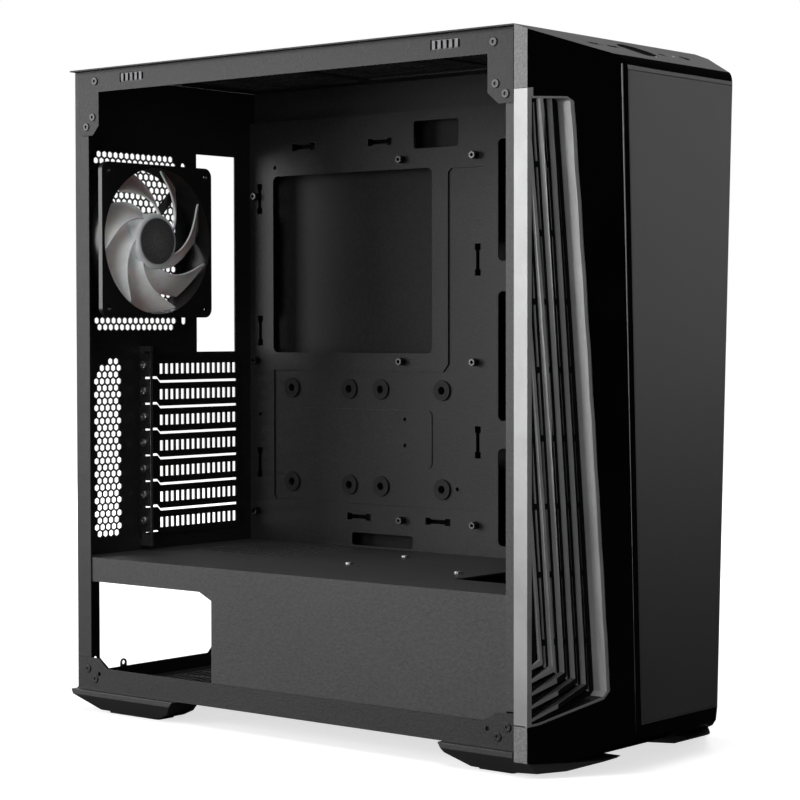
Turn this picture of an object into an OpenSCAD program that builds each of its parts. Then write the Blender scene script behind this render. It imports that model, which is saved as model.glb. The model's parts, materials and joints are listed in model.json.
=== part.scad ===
// Desktop computer tower: an empty steel case with its left side panel off.
// Millimetres. +X is the right-hand side, +Y the rear, +Z up; the origin is
// under the middle of the case, on the surface that it stands on.
// Most modules draw in the case's own corner frame: x from the open left
// side, y = 0 at the rear and negative forwards, z from the steel floor.

/* [Steel body] */
// Width of the steel body
body_w = 207; // [205:1:209]
// Length of the steel body
body_l = 420; // [418:1:424]
// Height of the steel body, floor to top sheet
body_h = 470.5; // [469:0.5:473]
// Sheet thickness
sheet = 1; // [0.8:0.1:1]
// Depth of the space that a side panel fills
side_depth = 5; // [5:0.5:6]
// Height of the feet
foot_h = 16.5; // [16:0.5:20]

/* [Board] */
// Distance from the open side to the board tray
tray_x = 192.9; // [191:0.1:194]
// Height of the board's top edge above the floor
board_top = 413; // [412:0.5:414]

/* [Rear] */
// Spacing of the expansion slots
slot_pitch = 20.32; // [20.32]
// Height of the first slot's centre
slot_top = 243.4; // [243:0.1:244]
// Outside size of the rear fan
fan_size = 118; // [117:0.5:119]
// Spacing of the fan's screws
fan_holes = 105; // [105]
// Centre of the rear fan from the open side
fan_x = 62.8; // [62:0.1:64]
// Height of the rear fan's centre
fan_z = 342.9; // [342:0.1:344]

/* [Front panel] */
// Depth of the front panel in front of the steel
front_depth = 58; // [56:1:60]
// Inset of the face from the steel's side at the top
face_top_inset = 38.5; // [37:0.5:40]
// Inset of the face from the steel's side at the bottom
face_low_inset = 57.5; // [56:0.5:59]
// Slope of the panel's top, in degrees
slope = 21; // [20:0.5:22]
// Height of the power button's travel
press = 1.2; // [1:0.1:1.5]

/* [Hidden] */
slots = 7;

$fn = 48;
eps = 0.01;
rear_gap = 9;                                   // thumbscrews and lips behind the rear sheet
rear_y = (body_l + front_depth - rear_gap) / 2;
top_sheet = body_h - sheet;                     // underside of the top sheet
frame_top = top_sheet - sheet;                  // underside of the top frame
post_w = 14.5;                                  // rear posts, seen from the side
front_post_w = 10.6;
rail_h = 17.2;                                  // top and bottom rails, seen from the side
hex_pitch = 5.92;                               // round-cornered vent holes
hex_row = hex_pitch * sin(60);
hex_r = 2.75;
mid_x = body_w / 2;
face_v = body_l + front_depth;
shroud_z = 100;                                 // underside of the shroud's top
m3 = 1.6;

// Frames and sheets ---------------------------------------------------------
module in_case() translate([-body_w / 2, rear_y, foot_h]) children();

// A sheet across X, drawn as (distance from the rear, height).
module sheet_x(x0, t) translate([x0 + t, 0, 0]) rotate([90, 0, -90]) linear_extrude(t) children();

// A sheet across Y, drawn as (x, height), from v0 mm in front of the rear.
module sheet_y(v0, t) translate([0, -v0, 0]) rotate([90, 0, 0]) linear_extrude(t) children();

// A level sheet, drawn as (x, distance from the rear).
module sheet_z(z0, t) translate([0, 0, z0]) mirror([0, 1, 0]) linear_extrude(t) children();

module box(x0, x1, v0, v1, z0, z1) translate([x0, -v1, z0]) cube([x1 - x0, v1 - v0, z1 - z0]);

module rod_x(x, v, z, r, h) translate([x, -v, z]) rotate([0, 90, 0]) cylinder(h = h, r = r);

module rod_y(x, v, z, r, h) translate([x, -v, z]) rotate([90, 0, 0]) cylinder(h = h, r = r);

module rod_z(x, v, z, r, h) translate([x, -v, z]) cylinder(h = h, r = r);

module right_copy() { children(); translate([body_w, 0, 0]) mirror([1, 0, 0]) children(); }

module to_right() translate([body_w, 0, 0]) mirror([1, 0, 0]) children();

module span(a, b) translate(a) square([b[0] - a[0], b[1] - a[1]]);

module round_rect(a, b, r) {
    span([a[0] + r, a[1]], [b[0] - r, b[1]]);
    span([a[0], a[1] + r], [b[0], b[1] - r]);
    for (x = [a[0] + r, b[0] - r], y = [a[1] + r, b[1] - r]) translate([x, y]) circle(r);
}

// An upright or level slot with round ends, len over all.
module oblong(c, len, w, upright = true) {
    d = (len - w) / 2;
    e = upright ? [0, d] : [d, 0];
    s = upright ? [w, len - w] : [len - w, w];
    translate(c - e) circle(w / 2);
    translate(c + e) circle(w / 2);
    translate(c - s / 2) square(s);
}

// Hexagonal holes: rows of n, every second row one longer and set back half a pitch.
module hex_field(centre, rows, n) {
    for (j = [0 : rows - 1]) {
        wide = j % 2;
        for (i = [0 : n - 1 + wide])
            translate(centre + [(i - (n - 1 + wide) / 2) * hex_pitch, (j - (rows - 1) / 2) * hex_row])
                rotate(90) circle(hex_r, $fn = 6);
    }
}

// Rear ----------------------------------------------------------------------
slot_low = slot_top - (slots - 1) * slot_pitch;
cover_h = 18.4;
head_shift = 3.2;                               // the covers' heads stand higher than their blades
head_x = 66;
cover_end = 180;
io_right = tray_x - 18.2;
io_low = board_top + 2.35 - 158.75;
supply_x = 12;                                  // left side of the power supply
supply_z = 4.5;                                 // underside of the power supply
supply_holes = [[6, 16], [6, 80], [144, 6], [144, 80]];
thumb_z = [60, 410];
thumb_x = 7;
side_vent_rows = 27;

module supply_opening() {
    a = [supply_x + 10.5, supply_z + 6.8];
    b = [supply_x + 139.5, supply_z + 81.5];
    c = 9.5;
    polygon([[a[0] + c, a[1]], [b[0] - c, a[1]], [b[0], a[1] + c], [b[0], b[1] - c / 2],
             [b[0] - c / 2, b[1]], [a[0] + c / 2, b[1]], [a[0], b[1] - c / 2], [a[0], a[1] + c]]);
}

module side_vent() {
    for (j = [0 : side_vent_rows - 1]) {
        n = j % 2 == 0 ? 4 : 5;
        first = max(0, 2 - j);
        for (i = [first : n - 1])
            translate([32.4 + (i - (n - 1) / 2) * hex_pitch, 249.8 - j * hex_row])
                rotate(90) circle(hex_r, $fn = 6);
    }
}

module tie_lug() {
    // a small loop on the lower edge of the supply opening
    base = [supply_x + 35.8, supply_z + 5];
    difference() {
        union() {
            translate(base - [3.2, 0]) square([6.4, 4.6]);
            translate(base + [0, 4.6]) circle(3.2);
        }
        translate(base + [0, 4.8]) circle(1.7);
    }
}

module rear_panel() in_case() color("#262626") {
    difference() {
        sheet_y(0, sheet) union() {
            difference() {
                span([sheet, sheet], [body_w - sheet, frame_top]);
                hex_field([fan_x, fan_z], 27, 14);
                for (x = [-1, 1], z = [-1, 1])
                    oblong([fan_x + x * fan_holes / 2, fan_z + z * fan_holes / 2], 24, 4.6);
                span([io_right - 44.45, io_low], [io_right, io_low + 158.75]);
                span([72, slot_low - 7.4], [176, slot_top + cover_h / 2]);
                side_vent();
                supply_opening();
            }
            tie_lug();
        }
        for (h = supply_holes) rod_y(supply_x + h[0], -1, supply_z + h[1], 1.9, 4);
        for (x = [thumb_x, body_w - thumb_x], z = thumb_z) rod_y(x, -1, z, 1.9, 4);
    }
    right_copy() sheet_x(sheet, sheet) span([sheet, rail_h + 1], [post_w, frame_top]);
}

module slot_cover(i) in_case() color("#1c1c1c") {
    zc = slot_top - (i - 1) * slot_pitch;
    h = cover_h / 2;
    difference() {
        sheet_y(sheet, sheet) difference() {
            polygon([[head_x, zc + head_shift - h], [84.6, zc + head_shift - h], [87.9, zc - h],
                     [cover_end - 4, zc - h], [cover_end, zc - h + 4], [cover_end, zc + h - 4],
                     [cover_end - 4, zc + h], [87.9, zc + h], [84.6, zc + head_shift + h],
                     [head_x, zc + head_shift + h]]);
            for (k = [0 : 14]) translate([89.2 + k * hex_pitch - 1.8, zc - 4.05]) square([3.6, 8.1]);
        }
    }
    difference() {
        sheet_x(head_x, sheet) span([sheet, zc + head_shift - h], [12, zc + head_shift + h]);
        rod_x(head_x - 1, 7, zc + head_shift, 2.2, 3);
    }
}

module slot_screw_bar() in_case() color("#8f8f8f") {
    bar = [slot_low - 17, slot_top + 18];
    difference() {
        sheet_x(head_x + sheet, 1.5) difference() {
            span([2 * sheet, bar[0]], [13.4, bar[1]]);
            for (i = [0 : slots])
                translate([5, slot_top + head_shift + slot_pitch * (0.5 - i) - 1]) square([7, 2]);
        }
        for (i = [0 : slots - 1])
            rod_x(head_x, 7, slot_top + head_shift - i * slot_pitch, m3, 4);
    }
    // bright folded lip along the front of the bar
    box(head_x + 0.2, head_x + sheet, 12.4, 13.4, bar[0], bar[1]);
    for (z = [bar[0], bar[1] - 5]) box(head_x + sheet, 80, sheet, 2 * sheet, z, z + 5);
}

module slot_screws() in_case() color("#9a9a9a")
    for (i = [0 : slots - 1]) {
        z = slot_top + head_shift - i * slot_pitch;
        rod_x(head_x - 2.2, 7, z, 3.2, 2.2);
        difference() {
            rod_x(head_x - 3, 7, z, 2.6, 1);
            rod_x(head_x - 4, 7, z, 1.2, 2, $fn = 6);
        }
        rod_x(head_x, 7, z, 1.5, 5);
    }

// Steel frame ---------------------------------------------------------------
vent_slot = [18, 3.6];

module slot_rows(a, b, gap) {
    // level slots across X that fill the rectangle a to b
    nx = floor((b[0] - a[0] + gap) / (vent_slot[0] + gap));
    ny = floor((b[1] - a[1]) / hex_pitch);
    for (i = [0 : nx - 1], j = [0 : ny - 1])
        translate([a[0] + i * (vent_slot[0] + gap), a[1] + j * hex_pitch]) square(vent_slot);
}

foot_screw_spots = [[18, 52], [18, 392]];

module bottom_panel() in_case() color("#484848") {
    difference() {
        sheet_z(0, sheet) difference() {
            span([0, 0], [body_w, body_l]);
            slot_rows([34, 20], [160, 132], 3);
        }
        right_copy() for (p = foot_screw_spots) rod_z(p[0], p[1], -1, 2, 4);
    }
    // side rails, with an ear up each post
    right_copy() difference() {
        sheet_x(0, sheet) polygon([[1.3, sheet], [body_l - 1, sheet], [body_l - 1, 24.6], [402, 23.4],
                                   [391, rail_h], [33.2, rail_h], [24, 24.6], [1.8, 24.6]]);
        rod_x(-1, 395, 12.4, 1.6, 4);
        rod_x(-1, 24.5, 12.8, 1.6, 4);
        for (p = low_rivets) rod_x(-1, p[0], p[1], rivet_r, 4);
    }
    // guides of the supply filter
    for (x = [27.6, 166.4]) box(x, x + 1, 4, 150, -4.6, 0);
    box(28.6, 31.6, 4, 150, -4.6, -3.8);
    box(163.4, 166.4, 4, 150, -4.6, -3.8);
}

rivet_r = 1.7;
low_rivets = [[12.1, 16], [20, 8.8], [411.4, 14.9], [403.4, 7.8]];
high_rivets = [[20.3, 434.7], [13.4, 427.7], [400.2, 460.8], [401.8, 433.6], [409.9, 426.6], [22.9, 461.6]];
clip_v = [62.5, 360];
clip_z = 462.6;
clip_slot = [25, 6.6];

module top_frame() in_case() color("#4a4a4a") {
    sheet_z(frame_top, sheet) difference() {
        span([0, sheet], [body_w, body_l - sheet]);
        round_rect([30, 20], [177, 135], 4);
        round_rect([30, 145], [177, 265], 4);
        round_rect([30, 275], [177, 400], 4);
    }
    right_copy() difference() {
        sheet_x(0, sheet) difference() {
            polygon([[4.4, frame_top], [4.4, 422.5], [8, 421], [20, 421], [26.7, 428], [26.7, body_h - rail_h],
                     [395.1, body_h - rail_h], [395.1, 428], [404, 420.4], [416, 420.4], [416, frame_top]]);
            for (v = clip_v) translate([v, clip_z] - clip_slot / 2) square(clip_slot);
        }
        for (p = high_rivets) rod_x(-1, p[0], p[1], rivet_r, 4);
    }
}

module top_panel() in_case() color("#464646")
    sheet_z(top_sheet, sheet) difference() {
        span([-side_depth, 0.7], [body_w + side_depth, body_l]);
        slot_rows([32, 22], [176, 133], 2.8);
        slot_rows([32, 147], [176, 263], 2.8);
        slot_rows([32, 277], [176, 399], 2.8);
    }

module frame_rivets() in_case() color("#5a5a5a")
    right_copy() for (p = concat(low_rivets, high_rivets)) difference() {
        union() {
            rod_x(-0.9, p[0], p[1], 3, 0.9);
            rod_x(0, p[0], p[1], rivet_r, sheet);
        }
        rod_x(-2, p[0], p[1], 1, 2);
    }

module panel_spring_clips() in_case() color("#707070")
    right_copy() for (v = clip_v) {
        box(sheet, 1.7 * sheet, v - 17, v + 17, clip_z - 4.4, clip_z + 4.4);
        for (s = [-9.6, -4.8, 0, 4.8, 9.6]) box(-0.3, sheet, v + s - 1.3, v + s + 1.3, clip_z - 2.8, clip_z + 2.8);
    }

front_fan_z = [139, 262, 385];

module front_frame() in_case() color("#303030") {
    difference() {
        sheet_y(body_l - sheet, sheet) difference() {
            span([sheet, sheet], [body_w - sheet, frame_top]);
            for (z = front_fan_z) translate([mid_x, z]) circle(56.5, $fn = 96);
            for (x = [12, body_w - 12], z = clip_heights) translate([x, z]) circle(3.6);
            round_rect([60, 12], [147, 66], 5);
            round_rect([70, 447], [137, 463], 5);
        }
        for (z = front_fan_z, x = [-1, 1], s = [-1, 1])
            rod_y(mid_x + x * fan_holes / 2, body_l - 3, z + s * fan_holes / 2, 2.15, 4);
    }
    right_copy() sheet_x(sheet, sheet) span([body_l - front_post_w, rail_h + 8], [body_l - sheet, frame_top]);
}

// Board tray ----------------------------------------------------------------
// The recess dodges the board's rows of holes; g draws it smaller all round.
module bay_outline(g) {
    l = 26.5 + g;
    r = 246.9 - g;
    c = 2.5;
    polygon([[l, 242.4 - g], [203.6 + g, 242.4 - g], [208.6 + g, 247.4], [208.6 + g, 396 - g], [211.5 + g, 399 - g],
             [r - c, 399 - g], [r, 399 - c - g], [r, 265.5 + g / 2], [231.5 - g, 256.6 + g / 2],
             [231.5 - g, 242.6 - g / 2], [r, 232 - g / 2], [r, 134.4 + c + g], [r - c, 134.4 + g],
             [l + c, 134.4 + g], [l, 134.4 + c + g]]);
}

grommet_v = [47, 108.7, 141.5, 203.2];
grommet_z = [150.3, 226.9];
recess = 1.5;
standoffs = [[10.16, 29.21], [165.1, 6.35], [237.49, 6.35], [10.16, 163.83], [165.1, 163.83], [237.49, 163.83],
             [10.16, 288.29], [165.1, 288.29], [237.49, 288.29]];
tie_slots = [[12.1, 381.8], [12.5, 273.5], [11.6, 164.9], [237.5, 327.4], [237.5, 187.9]];
low_ties = [[141.4, 421.8], [60.7, 422], [119.1, 125.2], [199.7, 125.2]];

module tie_slot(c, upright) {
    s = upright ? [3.4, 24.6] : [24.6, 3.4];
    e = upright ? [5.6, 5] : [5, 5.6];
    d = upright ? [0, 9.8] : [9.8, 0];
    translate(c - s / 2) square(s);
    for (k = [-1, 1]) translate(c + k * d - e / 2) square(e);
}

module tray_holes() {
    round_rect([27, 255.6], [194, 399.4], 5);
    for (p = tie_slots) tie_slot(p, true);
    for (p = low_ties) tie_slot(p, false);
    round_rect([175.8, 414.6], [220, 436], 2);
    round_rect([111.8, 102.5], [174.5, 112.5], 2);
    for (z = [[326, 418], [205, 303], [110, 184]]) round_rect([258, z[0]], [284, z[1]], 4);
    for (p = [[216.9, 382.4], [12.3, 204.6], [29.1, 406.5]]) translate(p) circle(1.6);
    round_rect([6, 5], [322, 92], 6);
}

tray_end = 332;
fold_z = 443;

module board_tray() in_case() color("#2c2c2c") {
    difference() {
        sheet_x(tray_x, sheet) difference() {
            span([sheet, sheet], [tray_end, fold_z]);
            bay_outline(0);
            tray_holes();
        }
        for (p = standoffs) rod_x(tray_x - 1, p[0], board_top - p[1], 1.7, 4);
    }
    difference() {
        sheet_x(tray_x, recess + sheet) bay_outline(0);
        translate([-eps, 0, 0]) sheet_x(tray_x, recess + eps) bay_outline(sheet);
        for (v = grommet_v, z = grommet_z) rod_x(tray_x, v, z, 5, 6);
        sheet_x(tray_x - 1, 6) {
            tie_slot(tie_slots[3], true);
            tie_slot(tie_slots[4], true);
            translate([217.6, 151.1]) circle(1.6);
            for (z = [183.5, 203.8]) translate([166, z]) circle(1.6);
        }
    }
    // raised pad between the drive places
    difference() {
        sheet_x(tray_x + recess - 0.8, 0.8) round_rect([50.5, 166.2], [193, 211], 4);
        for (z = [183.5, 203.8]) rod_x(tray_x - 1, 166, z, 1.6, 6);
    }
    // top fold
    box(tray_x, tray_x + 7, sheet, tray_end, fold_z, fold_z + sheet);
    box(tray_x + 6, tray_x + 7, sheet, tray_end, fold_z + sheet, frame_top);
}

module board_standoffs() in_case() color("#202020")
    for (p = standoffs) difference() {
        union() {
            translate([tray_x - 6.4, -p[0], board_top - p[1]]) rotate([0, 90, 0]) cylinder(h = 6.4, r = 2.9, $fn = 6);
            rod_x(tray_x, p[0], board_top - p[1], 1.6, 3);
        }
        rod_x(tray_x - 8, p[0], board_top - p[1], 1.4, 7);
    }

module drive_grommets() in_case() color("#141414")
    for (v = grommet_v, z = grommet_z) difference() {
        union() {
            rod_x(tray_x - 0.3, v, z, 8, recess + 0.3);
            rod_x(tray_x + recess, v, z, 4.9, sheet);
            rod_x(tray_x + recess + sheet, v, z, 6.5, 1.2);
        }
        rod_x(tray_x - 2, v, z, 3, 8);
    }

// Shroud, cage and trays ----------------------------------------------------
shroud_x = 2.2;
shroud_end = 409;
window_end = 140.8;
window_top = 82.7;
cage_v = [197, 306];
cage_x = [37, 190];
cage_screw_x = [87, 152];
cage_screw_v = [200.5, 302.5];
drive_trays_z = [18.4, 60.4];

module power_supply_shroud() in_case() color("#555555") {
    sheet_z(shroud_z, sheet) difference() {
        span([shroud_x, sheet], [tray_x, shroud_end]);
        hex_field([138, 80], 18, 13);
        round_rect([56, 323], [186, 400], 3);
        for (x = cage_screw_x, v = cage_screw_v) translate([x, v]) circle(1.8);
    }
    sheet_x(shroud_x, sheet) polygon([[sheet, window_top], [128.6, window_top], [window_end, window_top - 5.7],
                                      [window_end, sheet], [shroud_end, sheet], [shroud_end, shroud_z], [sheet, shroud_z]]);
    box(tray_x - sheet, tray_x, 12, 105, 90, shroud_z);
    box(tray_x - sheet, tray_x, 180, 380, 90, shroud_z);
}

module supply_pads() in_case() color("#161616")
    for (x = [22, 144], v = [8, 138]) box(x, x + 12, v, v + 12, sheet, supply_z);

module drive_cage() in_case() color("#3a3a3a") {
    for (v = cage_v) sheet_y(v - sheet / 2, sheet) difference() {
        span([cage_x[0], sheet], [cage_x[1], shroud_z - 1]);
        for (x = [60, 130], z = [42, 86]) round_rect([x, z - 4], [x + 45, z + 4], 3);
    }
    box(cage_x[0] - sheet, cage_x[0], cage_v[0] - sheet / 2, cage_v[1] + sheet / 2, sheet, shroud_z - 1);
    sheet_z(shroud_z - 1, 1) difference() {
        span([cage_x[0] - sheet, cage_v[0] - sheet / 2], [cage_x[1], cage_v[1] + sheet / 2]);
        for (x = cage_screw_x, v = cage_screw_v) translate([x, v]) circle(1.7);
    }
}

// Ledges under the drive trays.
module drive_rails() in_case() color("#3a3a3a")
    for (z = drive_trays_z, s = [[cage_v[0] + 0.5, cage_v[0] + 5], [cage_v[1] - 5, cage_v[1] - 0.5]])
        box(cage_x[0], cage_x[1], s[0], s[1], z - 1.8, z - 0.8);

module cage_screws() in_case() color("#b4b4b6") for (x = cage_screw_x, v = cage_screw_v) difference() {
    union() {
        rod_z(x, v, shroud_z + sheet, 3.2, 1.5);
        rod_z(x, v, shroud_z - 4, m3, 5);
    }
    translate([x, -v, shroud_z + sheet + 0.6]) cylinder(h = 2, r = 1.3, $fn = 4);
}

module drive_tray(z) {
    v0 = cage_v[0] + 0.9;
    v1 = cage_v[1] - 0.9;
    difference() {
        union() {
            box(cage_x[0] + 2, cage_x[1], v0, v1, z - 0.4, z + 1.6);
            box(cage_x[0] + 2, cage_x[1], v0, v0 + 2, z + 1.6, z + 24);
            box(cage_x[0] + 2, cage_x[1], v1 - 2, v1, z + 1.6, z + 24);
            box(cage_x[1] - 3, cage_x[1], v0 + 2, v1 - 2, z + 1.6, z + 24);
        }
        sheet_z(z - 2, 6) for (x = [52, 118]) round_rect([x, v0 + 14], [x + 52, v1 - 14], 4);
        box(cage_x[1] - 5, cage_x[1] + 1, v0 + 34, v1 - 34, z + 8, z + 18);
        for (v = [v0 - 1, v1 - 3], x = [70, 171.6]) rod_y(x, v, z + 8, 1.9, 4);
    }
}

module lower_drive_tray() in_case() color("#232323") drive_tray(drive_trays_z[0]);

module upper_drive_tray() in_case() color("#232323") drive_tray(drive_trays_z[1]);

// Rear fan: y runs forwards from the rear sheet ------------------------------
fan_v = sheet;
fan_depth = 25;
bore_r = 56.5;
blade_r = 55;
hub_r = 21.8;

module fan_place() in_case() translate([fan_x, -fan_v, fan_z]) rotate([90, 0, 0]) children();

module fan_plate(h) {
    c = fan_size / 2;
    linear_extrude(h) round_rect([-c, -c], [c, c], 7);
}

module fan_frame() fan_place() color("#171717") {
    difference() {
        union() {
            fan_plate(4);
            translate([0, 0, 4]) cylinder(h = fan_depth - 8, r = bore_r + 1.8, $fn = 96);
            translate([0, 0, fan_depth - 4]) fan_plate(4);
        }
        translate([0, 0, -1]) cylinder(h = fan_depth + 2, r = bore_r, $fn = 96);
        for (x = [-1, 1], y = [-1, 1])
            translate([x * fan_holes / 2, y * fan_holes / 2, -1]) cylinder(h = fan_depth + 2, r = 2.15);
    }
    difference() {
        union() {
            cylinder(h = 2.4, r = 20);
            intersection() {
                for (a = [45 : 90 : 315]) rotate(a) translate([18, -3, 0]) cube([bore_r - 16, 6, 3.2]);
                cylinder(h = 4, r = bore_r + 0.5);
            }
            cylinder(h = 15, r = 5.2);
        }
        translate([0, 0, 1.2]) cylinder(h = 20, r = 4);
    }
}

module fan_screws() fan_place() color("#1b1b1b")
    for (x = [-1, 1], y = [-1, 1]) translate([x * fan_holes / 2, y * fan_holes / 2, 0]) difference() {
        union() {
            translate([0, 0, -1 - 2.2]) cylinder(h = 2.2, r = 4.2);
            translate([0, 0, -1]) cylinder(h = 10, r = 2.1);
        }
        translate([0, 0, -4]) cylinder(h = 2, r = 1.4, $fn = 4);
    }

module fan_bearing() fan_place() color("#b5904a") translate([0, 0, 1.4]) difference() {
    cylinder(h = 13.4, r = 3.95);
    translate([0, 0, 1]) cylinder(h = 20, r = 1.55);
}

module fan_board() fan_place() color("#1f4a2c") translate([0, 0, 2.6]) difference() {
    cylinder(h = 1.2, r = 17);
    translate([0, 0, -1]) cylinder(h = 4, r = 5.6);
    translate([12, 0, -1]) cylinder(h = 4, r = 1.2);
}

module fan_stator() fan_place() color("#a8642c") translate([0, 0, 5.4]) difference() {
    union() {
        cylinder(h = 8, r = 8.4);
        for (a = [0 : 90 : 270]) rotate(a) {
            translate([6, -2.6, 1]) cube([8, 5.2, 6]);
            intersection() {
                translate([12, -8, 0.6]) cube([6, 16, 6.8]);
                cylinder(h = 8, r = 16.2);
            }
        }
    }
    translate([0, 0, -1]) cylinder(h = 12, r = 5.4);
}

// A sickle between two arcs, sweeping forwards as it goes out.
module blade_outline() intersection() {
    circle(blade_r, $fn = 96);
    difference() {
        translate([21, 31.5]) circle(35.6, $fn = 96);
        translate([14.5, 49.5]) circle(37.5, $fn = 96);
    }
}

module fan_rotor() fan_place() color("#c9ccd0") {
    difference() {
        union() {
            translate([0, 0, 7.5]) cylinder(h = 16.7, r = hub_r);
            for (i = [0 : 6]) rotate(i * 360 / 7 - 96)
                translate([0, 0, 14.6]) rotate([22, 0, 0]) linear_extrude(1.8, center = true) difference() {
                    blade_outline();
                    circle(hub_r - 1.2);
                }
        }
        translate([0, 0, 2]) cylinder(h = 20, r = hub_r - 1.5);
        translate([0, 0, 2]) cylinder(h = 22.2, r = 1.5);
        translate([0, 0, -30]) difference() {
            cylinder(h = 90, r = 80);
            translate([0, 0, -1]) cylinder(h = 92, r = blade_r, $fn = 96);
        }
    }
    translate([0, 0, 17.5]) difference() {
        cylinder(h = 4.5, r = 4);
        translate([0, 0, -1]) cylinder(h = 6, r = 1.5);
    }
}

module fan_magnet() fan_place() color("#3c3c40") translate([0, 0, 8]) difference() {
    cylinder(h = 13, r = hub_r - 1.55);
    translate([0, 0, -1]) cylinder(h = 15, r = hub_r - 4.2);
}

module fan_shaft() fan_place() color("#c4c4c8") translate([0, 0, 3]) cylinder(h = 20.4, r = 1.5);

module fan_hub_cap() fan_place() color("#2e2e2e") translate([0, 0, 24.2]) cylinder(h = 0.5, r = 17.7, $fn = 96);

// Right side panel -----------------------------------------------------------
side_x = body_w + 0.3;
side_out = body_w + side_depth;
lip_gap = 0.3;

module right_side_panel() in_case() color("#333333") {
    box(side_out - sheet, side_out, -1.3, body_l - 1, 1.2, frame_top);
    box(side_x, side_out - sheet, sheet, body_l - 1, 1.2, 2.2);
    box(side_x, side_out - sheet, sheet, body_l - 1, frame_top - 1, frame_top);
    box(side_x + 1, side_out - sheet, body_l - 2, body_l - 1, 2.2, frame_top - 1);
    // rear lip with the holes of the thumbscrews
    difference() {
        box(body_w - 16, side_out - sheet, -1.3, -lip_gap, 20, 455);
        for (z = thumb_z) rod_y(body_w - thumb_x, -3, z, 2.1, 5);
    }
    box(body_w - 16, body_w - 15, -8, -1.3, 226, 254);
}

module side_thumbscrews() in_case() color("#222222")
    for (z = thumb_z) translate([body_w - thumb_x, 1.3, z]) rotate([-90, 0, 0]) difference() {
        union() {
            cylinder(h = rear_gap - 1.3, r = 5.6);
            translate([0, 0, -5]) cylinder(h = 5.5, r = 1.75);
            cylinder(h = 1.4, r = 6.2);
        }
        for (a = [0 : 30 : 330]) rotate(a) translate([6.1, 0, 2]) cylinder(h = 10, r = 0.9);
        translate([0, 0, rear_gap - 3]) cylinder(h = 4, r = 3, $fn = 6);
    }

// Filters -------------------------------------------------------------------
module filter_ribs(a, b, nx, ny, rib) {
    w = (b[0] - a[0] - (nx - 1) * rib) / nx;
    h = (b[1] - a[1] - (ny - 1) * rib) / ny;
    for (i = [0 : nx - 1], j = [0 : ny - 1])
        translate([a[0] + i * (w + rib), a[1] + j * (h + rib)]) square([w, h]);
}

module top_filter() in_case() color("#1a1a1a") {
    z0 = body_h + 0.3;
    sheet_z(z0, 1.8) difference() {
        round_rect([22, 12], [185, 408], 5);
        round_rect([30, 20], [177, 400], 3);
    }
    sheet_z(z0 + 0.4, 0.6) difference() {
        span([29.5, 19.5], [177.5, 400.5]);
        filter_ribs([32, 22], [175, 398], 4, 10, 2);
    }
}

module supply_filter() in_case() color("#1d1d1d") {
    sheet_z(-3.5, 2) difference() {
        round_rect([29, 1.4], [166, 149], 3);
        round_rect([36, 12], [159, 142], 3);
    }
    sheet_z(-2.9, 0.6) difference() {
        span([35.5, 11.5], [159.5, 142.5]);
        filter_ribs([38, 14], [157, 140], 5, 5, 2);
    }
    // pull tab behind the rear sheet
    difference() {
        box(80, 116, -6, 1.6, -3.5, -1.5);
        box(88, 108, -3.6, -1.2, -5, 1);
    }
}

// Front panel ---------------------------------------------------------------
wing_v = 431;
side_edge = -side_depth;
low_edge = -6;
shell_wall = 2.4;
clip_heights = [9, 447];
face_low = 16;
nose_r = 10;
crease = body_l;                                // the flat top ends here
brow_z = body_h - front_depth * tan(slope) - nose_r * tan((90 - slope) / 2);

function inset_at(z) = face_top_inset + (face_low_inset - face_top_inset) * (body_h - z) / (body_h - low_edge);

// Plan of the front panel at height z, drawn smaller by g: rear corner, wing, face.
function plan(z, g, rear) =
    let (x = inset_at(z), dx = x - side_edge, dv = face_v - wing_v, l = norm([dx, dv]),
         corner = wing_v - g * dx / l + g * (1 - dv / l) * dv / dx,
         face = side_edge + g * dv / l + (dv - g + g * dx / l) * dx / dv)
    [[side_edge + g, rear], [side_edge + g, corner], [face, face_v - g],
     [body_w - face, face_v - g], [body_w - side_edge - g, corner], [body_w - side_edge - g, rear]];

// A block through one ring of points (x, v) for each level.
module lofted(rings, zs) {
    n = len(rings[0]);
    top = len(zs) - 1;
    sides = [for (i = [0 : top - 1], k = [0 : n - 1], half = [0, 1])
        let (a = i * n + k, b = i * n + (k + 1) % n) half == 0 ? [a, a + n, b + n] : [a, b + n, b]];
    polyhedron([for (i = [0 : top], p = rings[i]) [p[0], -p[1], zs[i]]],
               concat([[for (k = [0 : n - 1]) k], [for (k = [n - 1 : -1 : 0]) top * n + k]], sides));
}

// The block between the wings, whose twist is spread over several levels.
levels = 10;
overrun = 4;
level_z = [for (i = [0 : levels]) low_edge - overrun + i * (body_h - low_edge + 2 * overrun) / levels];
module front_block(g, rear = body_l - 2) lofted([for (z = level_z) plan(z, g, rear)], level_z);

// Side outline of the front panel, drawn smaller by g.
module front_profile(g) {
    r = nose_r - g;
    inside = body_l - 20;
    polygon(concat(
        [[inside, low_edge + g], [448, low_edge + g], [461.4, -1.1 + g], [474 - g / 2, 6 + g], [face_v - g, face_low]],
        [for (a = [0 : 11.5 : 90 - slope]) [face_v - nose_r + r * cos(a), brow_z + r * sin(a)]],
        [[crease, body_h - g], [inside, body_h - g]]));
}

module front_solid(g, rear) intersection() {
    front_block(g, rear);
    sheet_x(side_edge - 1, body_w + 2 * side_depth + 2) front_profile(g);
}

// The face between its slanting sides, g smaller all round.
module face_outline(g) {
    z0 = face_low + g;
    z1 = brow_z - g;
    polygon([[inset_at(z0) + g, z0], [body_w - inset_at(z0) - g, z0], [body_w - inset_at(z1) - g, z1],
             [inset_at(z1) + g, z1]]);
}

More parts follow.
